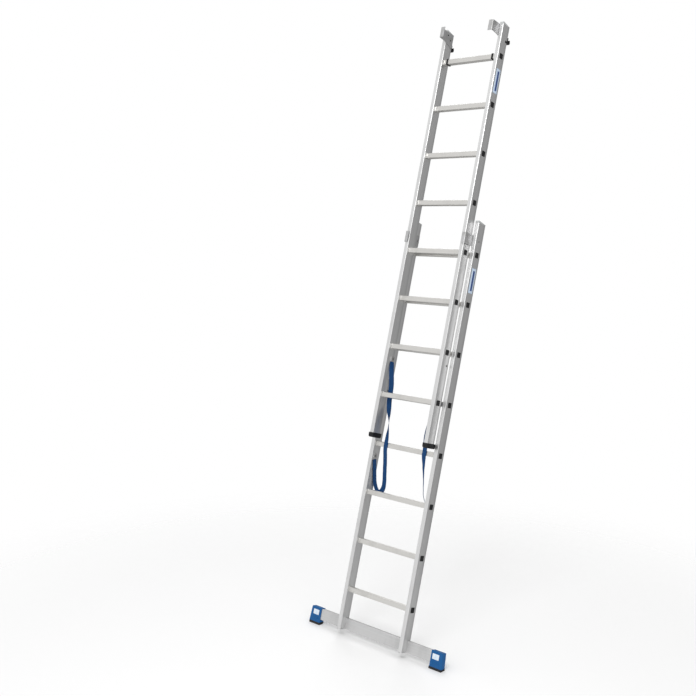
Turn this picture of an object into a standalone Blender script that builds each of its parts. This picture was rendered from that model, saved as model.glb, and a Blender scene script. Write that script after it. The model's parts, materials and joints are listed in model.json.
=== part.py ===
"""Two-part aluminium extension ladder with a stabiliser bar, leaning back at its working angle.

Each section is modelled upright in its own frame: X across the ladder, Y from the climbing
side to the back, Z up the stiles, with rung 1 at Z = 0 and the stile fronts at Y = 0.
The lower section's frame leans back over the floor, and the upper section's frame slides on it.
The world origin lies on the floor, midway between the two rubber pads.
"""
import bmesh
import bpy
from math import cos, pi, radians, sin, tan
from mathutils import Euler, Matrix, Vector

# Driving dimensions, in metres
LEAN = radians(14.5)
RUNG_COUNT = 8
RUNG_PITCH = 0.280
EXTENSION = 4 * RUNG_PITCH
FIT = 0.0003

STILE_WIDTH = 0.025
STILE_DEPTH = 0.063
STILE_WALL = 0.0018
CORNER_RADIUS = 0.003
BELOW_FIRST_RUNG = 0.228
ABOVE_LAST_RUNG = 0.176
LOWER_WIDTH = 0.476
UPPER_WIDTH = 0.414
SECTION_GAP = 0.002

RUNG_DEPTH = 0.031
RUNG_HEIGHT = 0.028
RUNG_WALL = 0.0016

BEAM_TOP = -0.165
BEAM_FRONT = 0.0372
BEAM_HALF_LENGTH = 0.450
CAP_INNER_X = 0.405
CAP_OUTER_X = 0.479
CAP_FLARE = 0.08
CAP_WALL = 0.0028
CAP_BOTTOM = -0.2460
PAD_THICKNESS = 0.012
CLIP_WIDTH = 0.020
CLIP_Z = (-0.234, -0.176)

BRACKET_SHEET = 0.0028
LOWER_BRACKET_Z = (0.045, 0.107)
UPPER_BRACKET_Z = (0.094, 0.178)
UPPER_BRACKET_RISE = 0.025
LOWER_LIP = 0.021
UPPER_LIP = 0.027
BEND_RADIUS = 0.004
THIRD_SECTION_ROOM = 0.063
BOLT_RADIUS = 0.0030

FOOT_TOP = -0.223
FOOT_BOTTOM = -0.250
HOOK_Z = 0.084
RING_X = (0.152, 0.162)
RING_THICKNESS = 0.0024
CATCH_PIVOT = (0.053, 0.0245)
CATCH_THICKNESS = 0.0036
CATCH_SWING = radians(100.0)
CLAMP_THICKNESS = 0.006
CLAMP_SIZE = (0.024, 0.028)
UPPER_CLAMP = (0.047, 0.208)
LOWER_CLAMP = (0.0225, 0.766)
WEBBING_WIDTH = 0.028
WEBBING_THICKNESS = 0.0020

LAST_RUNG = (RUNG_COUNT - 1) * RUNG_PITCH
LAYER_STEP = STILE_DEPTH + SECTION_GAP
CAP_DEPTH = (BEAM_FRONT - CAP_WALL, STILE_DEPTH + CAP_WALL - 0.0002)
FLOOR_LINE = CAP_BOTTOM - PAD_THICKNESS
SIDES = (("left", -1), ("right", 1))

# Left strap, from the upper clamp to the lower one: X, Y and Z in the lower section's frame,
# and the turn of the webbing's width about Z, where 0 is across the ladder. The right strap
# mirrors it, but for a twist in the run down to its loop: its turns are the last numbers.
STRAP_ROUTE = (
    (-0.1782, -0.0180, 1.3115, 82, 82),
    (-0.1762, -0.0185, 1.2950, 76, 76),
    (-0.1690, -0.0195, 1.2550, 55, 55),
    (-0.1600, -0.0180, 1.2130, 46, 46),
    (-0.1590, -0.0100, 1.1750, 42, 42),
    (-0.1610, -0.0040, 1.1350, 40, 40),
    (-0.1600, -0.0010, 1.0850, 42, 42),
    (-0.1530, 0.0020, 1.0350, 70, 70),
    (-0.1440, 0.0055, 0.9850, 118, 118),
    (-0.1390, 0.0080, 0.9350, 142, 142),
    (-0.1385, 0.0110, 0.8950, 165, 165),
    (-0.1400, 0.0137, 0.8500, 180, 180),
    (-0.1395, 0.0145, 0.8220, 180, 180),
    (-0.1395, 0.0280, 0.7700, 180, 205),
    (-0.1405, 0.0450, 0.7050, 180, 222),
    (-0.1420, 0.0610, 0.6430, 182, 228),
    (-0.1450, 0.0690, 0.6050, 186, 228),
    (-0.1560, 0.0735, 0.5790, 200, 228),
    (-0.1730, 0.0735, 0.5690, 225, 233),
    (-0.1910, 0.0700, 0.5770, 250, 250),
    (-0.2040, 0.0620, 0.6060, 264, 264),
    (-0.2085, 0.0500, 0.6530, 269, 269),
    (-0.2095, 0.0370, 0.7030, 270, 270),
    (-0.2097, 0.0245, 0.7460, 270, 270),
)

MATERIALS = {
    "aluminium": ((0.62, 0.63, 0.63), 0.32, 1.0),
    "bracket_steel": ((0.48, 0.49, 0.50), 0.38, 1.0),
    "fastener_steel": ((0.36, 0.36, 0.37), 0.35, 1.0),
    "black_plastic": ((0.012, 0.013, 0.015), 0.45, 0.0),
    "grey_plastic": ((0.52, 0.53, 0.53), 0.50, 0.0),
    "blue_plastic": ((0.004, 0.085, 0.305), 0.38, 0.0),
    "black_rubber": ((0.010, 0.010, 0.011), 0.80, 0.0),
    "blue_webbing": ((0.004, 0.040, 0.150), 0.85, 0.0),
}


def clear_scene():
    for obj in list(bpy.data.objects):
        bpy.data.objects.remove(obj)


def make_collection(name):
    collection = bpy.data.collections.new(name)
    bpy.context.scene.collection.children.link(collection)
    return collection


def make_material(name):
    colour, roughness, metallic = MATERIALS[name]
    material = bpy.data.materials.new(name)
    material.use_nodes = True
    shader = material.node_tree.nodes["Principled BSDF"]
    shader.inputs["Base Color"].default_value = (*colour, 1.0)
    shader.inputs["Roughness"].default_value = roughness
    shader.inputs["Metallic"].default_value = metallic
    return material


clear_scene()
PARTS = make_collection("extension_ladder")
CUTTERS = make_collection("extension_ladder_cutters")
PAINT = {name: make_material(name) for name in MATERIALS}


def add_object(name, shape, material=None, parent=None):
    """Turns a bmesh into an object of the ladder, or into a hidden cutter if it has no material."""
    mesh = bpy.data.meshes.new(name)
    bmesh.ops.recalc_face_normals(shape, faces=shape.faces)
    shape.to_mesh(mesh)
    shape.free()
    obj = bpy.data.objects.new(name, mesh)
    obj.parent = parent
    if material:
        mesh.materials.append(PAINT[material])
        PARTS.objects.link(obj)
    else:
        obj.hide_render = True
        obj.display_type = "WIRE"
        CUTTERS.objects.link(obj)
    return obj


def add_empty(name, location, parent=None):
    empty = bpy.data.objects.new(name, None)
    empty.location = location
    empty.parent = parent
    PARTS.objects.link(empty)
    return empty


def smooth(obj, angle=radians(35)):
    obj.data.shade_smooth()
    obj.data.set_sharp_from_angle(angle=angle)


def cut(obj, cutter):
    boolean = obj.modifiers.new("cut", "BOOLEAN")
    boolean.operation = "DIFFERENCE"
    boolean.solver = "EXACT"
    boolean.object = cutter


def solidify(obj, thickness, offset):
    shell = obj.modifiers.new("sheet", "SOLIDIFY")
    shell.thickness = thickness
    shell.offset = offset
    shell.use_even_offset = True


def block(low, high, shape=None):
    """Box between two corners, added to a bmesh."""
    shape = shape or bmesh.new()
    size = Vector(high) - Vector(low)
    middle = (Vector(high) + Vector(low)) / 2
    matrix = Matrix.Translation(middle) @ Matrix.Diagonal((*size, 1.0))
    bmesh.ops.create_cube(shape, size=1.0, matrix=matrix)
    return shape


def edges_along(shape, axis):
    """Edges that run along one axis: 0 is X, 1 is Y and 2 is Z."""
    found = []
    for edge in shape.edges:
        step = edge.verts[1].co - edge.verts[0].co
        if abs(step[axis]) > 0.999 * step.length:
            found.append(edge)
    return found


def round_edges(shape, edges, radius, segments=2):
    bmesh.ops.bevel(shape, geom=edges, offset=radius, segments=segments, profile=0.5, affect="EDGES")


def rounded_block(low, high, axis, radius=CORNER_RADIUS, segments=2):
    """Box whose edges along one axis are rounded."""
    shape = block(low, high)
    round_edges(shape, edges_along(shape, axis), radius, segments)
    return shape


def join(shapes):
    """Gathers several bmeshes as separate bodies of one."""
    whole = bmesh.new()
    for shape in shapes:
        mesh = bpy.data.meshes.new("piece")
        shape.to_mesh(mesh)
        shape.free()
        whole.from_mesh(mesh)
        bpy.data.meshes.remove(mesh)
    return whole


def tube(name, low, high, axis, wall, material, parent):
    """Rounded rectangular tube, open at both ends, running along one axis."""
    shape = rounded_block(low, high, axis)
    ends = [face for face in shape.faces if abs(face.normal[axis]) > 0.9]
    bmesh.ops.delete(shape, geom=ends, context="FACES_ONLY")
    obj = add_object(name, shape, material, parent)
    solidify(obj, wall, -1.0)
    smooth(obj)
    return obj


def cylinder(radius, start, end, segments=12):
    """Closed cylinder from one point to another."""
    start, end = Vector(start), Vector(end)
    axis = end - start
    turn = axis.to_track_quat("Z", "Y").to_matrix().to_4x4()
    matrix = Matrix.Translation((start + end) / 2) @ turn
    shape = bmesh.new()
    bmesh.ops.create_cone(shape, cap_ends=True, segments=segments, radius1=radius, radius2=radius,
                          depth=axis.length, matrix=matrix)
    return shape


def turned(name, profile, start, direction, material, parent, steps=12):
    """Turned piece: (radius, height) points from top to bottom, set along a direction."""
    mesh = bpy.data.meshes.new(name)
    points = [(radius, 0.0, height) for radius, height in profile]
    mesh.from_pydata(points, [(index, index + 1) for index in range(len(points) - 1)], [])
    mesh.materials.append(PAINT[material])
    obj = bpy.data.objects.new(name, mesh)
    obj.parent = parent
    obj.location = start
    obj.rotation_euler = Vector(direction).to_track_quat("Z", "Y").to_euler()
    PARTS.objects.link(obj)
    screw = obj.modifiers.new("turn", "SCREW")
    screw.steps = screw.render_steps = steps
    screw.use_merge_vertices = True
    screw.merge_threshold = 0.00001
    screw.use_smooth_shade = True
    return obj


def extruded(points, x_low, x_high):
    """Bmesh of a flat outline of (Y, Z) points, extruded between two X planes."""
    curve = bpy.data.curves.new("outline", "CURVE")
    curve.dimensions = "2D"
    curve.fill_mode = "BOTH"
    curve.extrude = (x_high - x_low) / 2
    spline = curve.splines.new("POLY")
    spline.use_cyclic_u = True
    spline.points.add(len(points) - 1)
    for point, (y, z) in zip(spline.points, points):
        point.co = (y, z, 0.0, 1.0)
    obj = bpy.data.objects.new("outline", curve)
    CUTTERS.objects.link(obj)
    mesh = bpy.data.meshes.new_from_object(obj.evaluated_get(bpy.context.evaluated_depsgraph_get()))
    bpy.data.objects.remove(obj)
    shape = bmesh.new()
    shape.from_mesh(mesh)
    bpy.data.meshes.remove(mesh)
    bmesh.ops.remove_doubles(shape, verts=shape.verts, dist=0.00001)
    bmesh.ops.dissolve_limit(shape, angle_limit=radians(1), verts=shape.verts, edges=shape.edges)
    turn = Euler((pi / 2, 0.0, pi / 2)).to_matrix().to_4x4()
    shape.transform(Matrix.Translation(((x_low + x_high) / 2, 0.0, 0.0)) @ turn)
    return shape


def bent_sheet(name, points, z_low, z_high, side, parent):
    """Sheet bent along an outline of (X, Y) points and mirrored to one side of the ladder."""
    shape = bmesh.new()
    row = [shape.verts.new((side * x, y, z_low)) for x, y in points]
    edges = [shape.edges.new(pair) for pair in zip(row[:-1], row[1:])]
    grown = bmesh.ops.extrude_edge_only(shape, edges=edges)["geom"]
    moved = [item for item in grown if isinstance(item, bmesh.types.BMVert)]
    bmesh.ops.translate(shape, verts=moved, vec=(0, 0, z_high - z_low))
    obj = add_object(name, shape, "bracket_steel", parent)
    solidify(obj, BRACKET_SHEET, 0.0)
    smooth(obj)
    return obj


def arc(centre, radius, start, end, steps=4):
    """Points on an arc between two angles in degrees."""
    points = []
    for index in range(steps + 1):
        angle = radians(start + (end - start) * index / steps)
        points.append((centre[0] + radius * cos(angle), centre[1] + radius * sin(angle)))
    return points


# ---------------------------------------------------------------- shared section pieces

def rung_hole_cutter(section, width, parent):
    """Eight blocks that open both stiles for the rungs."""
    holes = []
    half = width / 2 + 0.01
    for index in range(RUNG_COUNT):
        z = index * RUNG_PITCH
        low = (-half, (STILE_DEPTH - RUNG_DEPTH) / 2 - FIT, z - RUNG_HEIGHT / 2 - FIT)
        high = (half, (STILE_DEPTH + RUNG_DEPTH) / 2 + FIT, z + RUNG_HEIGHT / 2 + FIT)
        holes.append(rounded_block(low, high, 0))
    return add_object(section + "_rung_holes", join(holes), parent=parent)


def add_stiles(section, width, parent):
    """The two stile tubes of a section, opened for their rungs."""
    cutter = rung_hole_cutter(section, width, parent)
    stiles = {}
    for side_name, side in SIDES:
        outer = side * width / 2
        inner = side * (width / 2 - STILE_WIDTH)
        low = (min(outer, inner), 0, -BELOW_FIRST_RUNG)
        high = (max(outer, inner), STILE_DEPTH, LAST_RUNG + ABOVE_LAST_RUNG)
        name = f"{section}_stile_{side_name}"
        stiles[side_name] = tube(name, low, high, 2, STILE_WALL, "aluminium", parent)
        cut(stiles[side_name], cutter)
    return stiles


def add_rungs(section, width, parent):
    """Eight rung tubes that pass through both stiles, flush with their outer faces."""
    for index in range(RUNG_COUNT):
        z = index * RUNG_PITCH
        low = (-width / 2, (STILE_DEPTH - RUNG_DEPTH) / 2, z - RUNG_HEIGHT / 2)
        high = (width / 2, (STILE_DEPTH + RUNG_DEPTH) / 2, z + RUNG_HEIGHT / 2)
        tube(f"{section}_rung_{index + 1}", low, high, 0, RUNG_WALL, "aluminium", parent)


def add_top_caps(section, width, parent):
    """Plastic caps with an insert in each stile's top, sloping down to the back."""
    base = LAST_RUNG + ABOVE_LAST_RUNG
    for side_name, side in SIDES:
        middle = side * (width / 2 - STILE_WIDTH / 2)
        half = STILE_WIDTH / 2
        insert = STILE_WALL + FIT
        cover = [(0.0, base + FIT), (STILE_DEPTH, base + FIT),
                 (STILE_DEPTH, base + 0.003), (0.0, base + 0.0135)]
        shape = extruded(cover, middle - half, middle + half)
        obj = add_object(f"{section}_top_cap_{side_name}", shape, "grey_plastic", parent)
        tongue = rounded_block((middle - half + insert, insert, base - 0.015),
                               (middle + half - insert, STILE_DEPTH - insert, base + 0.001), 2, 0.0015)
        unite(obj, add_object(f"{section}_cap_tongue_{side_name}", tongue, parent=parent))


def unite(obj, other):
    """Joins a hidden body to an object."""
    union = obj.modifiers.new("unite", "BOOLEAN")
    union.operation = "UNION"
    union.solver = "EXACT"
    union.object = other


def add_rivet(name, head, side, grip, parent, right_through):
    """Rivet along X, with a domed head at its inner end and at its outer end if it goes through."""
    dome = ((0.0, 0.0022), (0.0041, 0.0022), (0.0058, 0.0008), (0.0058, 0.0))
    top = [(radius, grip + height) for radius, height in dome] if right_through else [(0.0, grip)]
    bottom = [(radius, -height) for radius, height in reversed(dome)]
    profile = top + [(BOLT_RADIUS, grip), (BOLT_RADIUS, 0.0)] + bottom
    turned(name, profile, head, (side, 0, 0), "fastener_steel", parent)


# ---------------------------------------------------------------- lower section

def add_stabiliser(stiles, parent):
    """Cross beam let into the back of both stiles, with its end caps, pads, clips and bolts."""
    beam = tube("stabiliser_beam", (-BEAM_HALF_LENGTH, BEAM_FRONT, -BELOW_FIRST_RUNG),
                (BEAM_HALF_LENGTH, STILE_DEPTH, BEAM_TOP), 0, STILE_WALL, "aluminium", parent)
    notch = block((-0.3, BEAM_FRONT - FIT, -BELOW_FIRST_RUNG - 0.01), (0.3, 0.08, BEAM_TOP + FIT))
    notch = add_object("beam_notch", notch, parent=parent)
    for stile in stiles.values():
        cut(stile, notch)
    for side_name, side in SIDES:
        add_end_cap(side_name, side, parent)
        add_clip(side_name, side, beam, parent)


def floor_height(y):
    """Z of the floor in the leaning frame, at a depth."""
    return FLOOR_LINE + (y - BEAM_FRONT) * tan(LEAN)


def cap_body(side):
    """Block of an end cap, its underside level with the floor and its outer end flared."""
    front, back = CAP_DEPTH
    top = BEAM_TOP + CAP_WALL
    above_pad = PAD_THICKNESS + FIT
    outline = [(front, top), (front, floor_height(front) + above_pad),
               (back, floor_height(back) + above_pad), (back, top)]
    shape = extruded(outline, *sorted((side * CAP_INNER_X, side * CAP_OUTER_X)))
    outer = [vert for vert in shape.verts if abs(vert.co.x) > CAP_OUTER_X - FIT]
    for vert in outer:
        vert.co.x += side * CAP_FLARE * (BEAM_TOP - vert.co.z)
    upright = []
    for edge in shape.edges:
        start, end = edge.verts
        if start in outer and end in outer and abs(start.co.z - end.co.z) > 0.05:
            upright.append(edge)
    round_edges(shape, upright, 0.004)
    return shape


def add_end_cap(side_name, side, parent):
    """Blue cap over one end of the beam, on a rubber pad."""
    cap = add_object(f"stabiliser_end_cap_{side_name}", cap_body(side), "blue_plastic", parent)
    inner, outer = sorted((side * (CAP_INNER_X - 0.01), side * (BEAM_HALF_LENGTH + FIT)))
    socket = block((inner, BEAM_FRONT - FIT, -BELOW_FIRST_RUNG - FIT),
                   (outer, STILE_DEPTH + FIT, BEAM_TOP + FIT))
    cut(cap, add_object(f"beam_socket_{side_name}", socket, parent=parent))
    smooth(cap)
    front, back = CAP_DEPTH[0] - 0.001, CAP_DEPTH[1] + 0.001
    outline = [(front, floor_height(front)), (back, floor_height(back)),
               (back, floor_height(back) + PAD_THICKNESS), (front, floor_height(front) + PAD_THICKNESS)]
    pad = extruded(outline, *sorted((side * (CAP_INNER_X - 0.002), side * (CAP_OUTER_X + 0.005))))
    add_object(f"stabiliser_pad_{side_name}", pad, "black_rubber", parent)


def add_clip(side_name, side, beam, parent):
    """Angle clip on a stile's left face that ties it to the beam's front, and its bolt."""
    stile_face = side * LOWER_WIDTH / 2 - (STILE_WIDTH if side > 0 else 0)
    flange_x = stile_face - FIT - BRACKET_SHEET / 2
    plate_y = BEAM_FRONT - FIT - BRACKET_SHEET / 2
    outline = [(flange_x, 0.0100), (flange_x, plate_y), (flange_x - CLIP_WIDTH, plate_y)]
    clip = bent_sheet(f"stabiliser_clip_{side_name}", outline, *CLIP_Z, 1, parent)
    x, z = flange_x - CLIP_WIDTH / 2, CLIP_Z[0] + 0.022
    hole = cylinder(BOLT_RADIUS + FIT, (x, plate_y - 0.01, z), (x, plate_y + 0.01, z))
    hole = add_object(f"clip_hole_{side_name}", hole, parent=parent)
    cut(clip, hole)
    cut(beam, hole)
    profile = [(0.0, 0.0035), (0.0045, 0.0035), (0.0058, 0.0020), (0.0058, 0.0),
               (BOLT_RADIUS, 0.0), (BOLT_RADIUS, -0.009), (0.0, -0.009)]
    head_y = plate_y - BRACKET_SHEET / 2 - FIT
    turned(f"stabiliser_bolt_{side_name}", profile, (x, head_y, z), (0, -1, 0), "fastener_steel", parent)


def add_guides(section, width, height, front, lip, parent):
    """Sheet brackets on the stiles' inner faces that reach forward round the section in front."""
    sheet_x = width / 2 - STILE_WIDTH - FIT - BRACKET_SHEET / 2
    outline = [(sheet_x, STILE_DEPTH - 0.004)]
    outline += arc((sheet_x - BEND_RADIUS, front + BEND_RADIUS), BEND_RADIUS, 0, -90)
    outline.append((sheet_x - lip, front))
    z_low, z_high = (LAST_RUNG + z for z in height)
    for side_name, side in SIDES:
        name = f"{section}_guide_bracket_{side_name}"
        bracket = bent_sheet(name, outline, z_low, z_high, side, parent)
        if section == "upper":
            cut(bracket, bracket_edge_cutter(front, z_low, parent))


def bracket_edge_cutter(front, z_low, parent):
    """Cutter for a bracket's lower edge, which sweeps up from the stile's back to the lip.

    With t from 0 at the back to 1 at the front, the edge is at low + rise * (1 - (1 - t)^2).
    """
    back = STILE_DEPTH - 0.002
    edge = []
    for index in range(9):
        t = index / 8
        edge.append((back + (front - back) * t, z_low + UPPER_BRACKET_RISE * (1 - (1 - t) ** 2)))
    low = z_low - 0.010
    ends = [(front - 0.010, edge[-1][1]), (front - 0.010, low), (back, low)]
    shape = extruded(edge + ends, -UPPER_WIDTH / 2, UPPER_WIDTH / 2)
    return add_object("bracket_edge_cutter", shape, parent=parent)


def add_strap_clamps(section, stiles, width, place, parent):
    """Clamp blocks on the stiles' inner faces, and the rivets that hold the strap's end there."""
    inner = width / 2 - STILE_WIDTH
    y, z = place
    half_y, half_z = CLAMP_SIZE[0] / 2, CLAMP_SIZE[1] / 2
    right_through = section == "upper"
    reach = width / 2 + 0.01 if right_through else inner + 0.01
    grip = reach - 0.01 - inner + CLAMP_THICKNESS + 3 * FIT + (0 if right_through else 0.006)
    for side_name, side in SIDES:
        low_x, high_x = sorted((side * (inner - FIT), side * (inner - FIT - CLAMP_THICKNESS)))
        shape = rounded_block((low_x, y - half_y, z - half_z), (high_x, y + half_y, z + half_z), 0)
        clamp = add_object(f"{section}_strap_clamp_{side_name}", shape, "bracket_steel", parent)
        low_x, high_x = sorted((side * (inner - 0.01), side * reach))
        hole = cylinder(BOLT_RADIUS + FIT, (low_x, y, z), (high_x, y, z))
        hole = add_object(f"{section}_strap_hole_{side_name}", hole, parent=parent)
        cut(clamp, hole)
        cut(stiles[side_name], hole)
        head_x = side * (inner - CLAMP_THICKNESS - 2 * FIT)
        add_rivet(f"{section}_strap_rivet_{side_name}", (head_x, y, z), side, grip, parent, right_through)


# ---------------------------------------------------------------- upper section

def add_feet(parent):
    """Plastic shoes on the upper stiles' ends, with a heel that runs between the lower stiles."""
    for side_name, side in SIDES:
        middle = side * (UPPER_WIDTH / 2 - STILE_WIDTH / 2)
        half = STILE_WIDTH / 2 + 0.0032
        shape = block((middle - half, -0.0035, FOOT_BOTTOM), (middle + half, STILE_DEPTH + 0.009, FOOT_TOP))
        sole = [edge for edge in edges_along(shape, 0) if edge.verts[0].co.z < FOOT_BOTTOM + FIT]
        round_edges(shape, sole, 0.012, segments=4)
        foot = add_object(f"upper_foot_{side_name}", shape, "black_plastic", parent)
        pocket = block((middle - STILE_WIDTH / 2 - FIT, -FIT, -BELOW_FIRST_RUNG - FIT),
                       (middle + STILE_WIDTH / 2 + FIT, STILE_DEPTH + FIT, FOOT_TOP + 0.01))
        cut(foot, add_object(f"foot_pocket_{side_name}", pocket, parent=parent))
        smooth(foot)


def hook_outline():
    """Hook seen from the side: a back plate on the stile and an upturned nose."""
    plate, z = STILE_DEPTH + FIT, LAST_RUNG + HOOK_Z
    nose = arc((plate + 0.0112, z + 0.0125), 0.0130, -70, 30, steps=5)
    tip = [(plate + 0.0190, z + 0.0270), (plate + 0.0150, z + 0.0255), (plate + 0.0165, z + 0.0185)]
    seat = arc((plate + 0.0100, z + 0.0150), 0.0062, -20, -160)
    return [(plate, z)] + nose + tip + seat + [(plate + 0.0035, z + 0.0350), (plate, z + 0.0350)]


def add_hooks(parent):
    """Hooks behind the upper stiles' tops, each with a tab round the stile's outer face."""
    z = LAST_RUNG + HOOK_Z
    outer = UPPER_WIDTH / 2 + 0.0018
    for side_name, side in SIDES:
        x_low, x_high = sorted((side * (UPPER_WIDTH / 2 - STILE_WIDTH), side * outer))
        shape = extruded(hook_outline(), x_low, x_high)
        hook = add_object(f"upper_hinge_hook_{side_name}", shape, "black_plastic", parent)
        x_low, x_high = sorted((side * (UPPER_WIDTH / 2 + FIT), side * (outer - 0.0001)))
        tab = block((x_low, STILE_DEPTH - 0.018, z + 0.0005), (x_high, STILE_DEPTH + 0.002, z + 0.0120))
        unite(hook, add_object(f"hook_tab_{side_name}", tab, parent=parent))
        smooth(hook)


def add_rung_rings(parent):
    """Plastic rings round the top rung, one near each stile."""
    reach = FIT + RING_THICKNESS
    for side_name, side in SIDES:
        x_low, x_high = sorted((side * RING_X[0], side * RING_X[1]))
        low = (x_low, (STILE_DEPTH - RUNG_DEPTH) / 2 - reach, LAST_RUNG - RUNG_HEIGHT / 2 - reach)
        high = (x_high, (STILE_DEPTH + RUNG_DEPTH) / 2 + reach, LAST_RUNG + RUNG_HEIGHT / 2 + reach)
        tube(f"top_rung_ring_{side_name}", low, high, 0, RING_THICKNESS, "black_plastic", parent)


def catch_outline():
    """Claw seen from the side, as it lies over a lower rung, about its pivot."""
    y, z = CATCH_PIVOT
    under = RUNG_HEIGHT / 2 + 2 * FIT - z
    behind = LAYER_STEP + (STILE_DEPTH + RUNG_DEPTH) / 2 + 0.0015 - y
    boss = arc((0, 0), 0.0088, 70, 270, steps=7)
    claw = [(0.0060, under), (behind, under), (behind, under - 0.0105),
            (behind + 0.0050, under - 0.0105), (behind + 0.0050, under + 0.0060),
            (behind + 0.0005, under + 0.0115)]
    return boss + claw


def add_catches(stiles, parent):
    """Pivoting claws that lock over a lower rung, here swung up clear of it, and their pins."""
    y, z = CATCH_PIVOT
    inner = UPPER_WIDTH / 2 - STILE_WIDTH
    gap = 0.0008
    profile = [(0.0, 0.0085), (BOLT_RADIUS, 0.0085), (BOLT_RADIUS, 0.0), (0.0052, 0.0),
               (0.0052, -0.0006), (0.0045, -0.0014), (0.0, -0.0014)]
    for side_name, side in SIDES:
        pivot = add_empty(f"catch_pivot_{side_name}", (side * inner, y, z), parent)
        pivot.rotation_euler.x = CATCH_SWING
        near, far = sorted((-side * gap, -side * (gap + CATCH_THICKNESS)))
        claw = extruded(catch_outline(), near, far)
        catch = add_object(f"rung_catch_{side_name}", claw, "bracket_steel", pivot)
        hole = cylinder(BOLT_RADIUS + FIT, (-0.01, 0, 0), (0.01, 0, 0))
        hole = add_object(f"catch_hole_{side_name}", hole, parent=pivot)
        cut(catch, hole)
        cut(stiles[side_name], hole)
        smooth(catch)
        head_x = side * (inner - gap - CATCH_THICKNESS - FIT)
        turned(f"catch_pin_{side_name}", profile, (head_x, y, z), (side, 0, 0), "fastener_steel", parent)


# ---------------------------------------------------------------- spreader straps

def smooth_route(side, steps=2):
    """Catmull-Rom curve through the route's points, with a few steps between each two."""
    turn = 3 if side < 0 else 4
    points = [Vector((*point[:3], point[turn])) for point in STRAP_ROUTE]
    points = [2 * points[0] - points[1]] + points + [2 * points[-1] - points[-2]]
    result = []
    for index in range(1, len(points) - 2):
        a, b, c, d = points[index - 1:index + 3]
        for step in range(steps):
            t = step / steps
            result.append(0.5 * (2 * b + (c - a) * t + (2 * a - 5 * b + 4 * c - d) * t ** 2
                                 + (3 * b - a - 3 * c + d) * t ** 3))
    return result + [points[-2]]


def add_strap(side_name, side, parent):
    """Webbing strap lofted along its route, its width turned as the route says."""
    shape = bmesh.new()
    rows = []
    route = smooth_route(side)
    for index, point in enumerate(route):
        before, after = route[max(index - 1, 0)], route[min(index + 1, len(route) - 1)]
        along = (after - before).to_3d().normalized()
        across = Vector((cos(radians(point[3])), sin(radians(point[3])), 0))
        across = (across - across.dot(along) * along).normalized() * WEBBING_WIDTH / 2
        centre = point.to_3d()
        corners = (centre - across, centre + across)
        rows.append([shape.verts.new((-side * x, y, z)) for x, y, z in corners])
    for low, high in zip(rows[:-1], rows[1:]):
        shape.faces.new((low[0], low[1], high[1], high[0]))
    strap = add_object(f"spreader_strap_{side_name}", shape, "blue_webbing", parent)
    solidify(strap, WEBBING_THICKNESS, 0.0)
    smooth(strap)


def build():
    """Sets up the two section frames and everything on them."""
    middle = sum(CAP_DEPTH) / 2
    y_offset = -middle * cos(LEAN) - floor_height(middle) * sin(LEAN)
    z_offset = BEAM_FRONT * sin(LEAN) - FLOOR_LINE * cos(LEAN)
    lower = add_empty("lower_section_frame", (0, y_offset, z_offset))
    lower.rotation_euler.x = -LEAN
    upper = add_empty("upper_section_frame", (0, -LAYER_STEP, EXTENSION), lower)

    lower_stiles = add_stiles("lower", LOWER_WIDTH, lower)
    add_rungs("lower", LOWER_WIDTH, lower)
    add_top_caps("lower", LOWER_WIDTH, lower)
    add_stabiliser(lower_stiles, lower)
    add_guides("lower", LOWER_WIDTH, LOWER_BRACKET_Z, -LAYER_STEP - 0.004, LOWER_LIP, lower)
    add_strap_clamps("lower", lower_stiles, LOWER_WIDTH, LOWER_CLAMP, lower)

    upper_stiles = add_stiles("upper", UPPER_WIDTH, upper)
    add_rungs("upper", UPPER_WIDTH, upper)
    add_top_caps("upper", UPPER_WIDTH, upper)
    add_guides("upper", UPPER_WIDTH, UPPER_BRACKET_Z, -THIRD_SECTION_ROOM, UPPER_LIP, upper)
    add_feet(upper)
    add_hooks(upper)
    add_rung_rings(upper)
    add_catches(upper_stiles, upper)
    add_strap_clamps("upper", upper_stiles, UPPER_WIDTH, UPPER_CLAMP, upper)

    for side_name, side in SIDES:
        add_strap(side_name, side, lower)


build()
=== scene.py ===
# %% [markdown]
# # Two-section extension ladder
#
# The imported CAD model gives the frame: every tube, bracket and joint is where it has to be.
# This script gives it its looks. It adds rungs with grip ribs, end plugs, rivets, webbing
# straps, labels and moulded detail, paints every surface with node materials, and sets up a
# plain studio.
#
# Most pieces are worked out in the ladder's own axes, which lean back with the stiles:
# x runs across the ladder, d from the climbing side to the back, and s up the stiles.

# %%
import json
from math import cos, pi, radians, sin, tan

import bmesh
import bpy
import numpy as np
from mathutils import Matrix, Vector


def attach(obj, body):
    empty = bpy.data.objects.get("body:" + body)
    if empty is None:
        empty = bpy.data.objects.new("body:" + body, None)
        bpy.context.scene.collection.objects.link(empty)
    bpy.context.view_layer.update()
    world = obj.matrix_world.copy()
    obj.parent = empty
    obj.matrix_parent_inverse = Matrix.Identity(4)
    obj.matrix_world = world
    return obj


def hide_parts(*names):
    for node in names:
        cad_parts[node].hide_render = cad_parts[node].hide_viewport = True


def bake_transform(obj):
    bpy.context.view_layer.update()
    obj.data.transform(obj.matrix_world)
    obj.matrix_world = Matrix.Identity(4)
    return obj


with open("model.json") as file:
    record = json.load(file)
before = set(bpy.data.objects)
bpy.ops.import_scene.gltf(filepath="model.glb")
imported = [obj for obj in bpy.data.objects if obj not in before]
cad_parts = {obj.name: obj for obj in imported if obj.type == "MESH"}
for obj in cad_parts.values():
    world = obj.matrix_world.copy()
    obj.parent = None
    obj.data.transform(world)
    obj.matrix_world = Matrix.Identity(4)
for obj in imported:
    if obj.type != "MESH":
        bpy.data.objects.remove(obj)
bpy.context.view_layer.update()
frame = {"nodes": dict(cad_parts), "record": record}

NODES = frame["nodes"]

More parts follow.
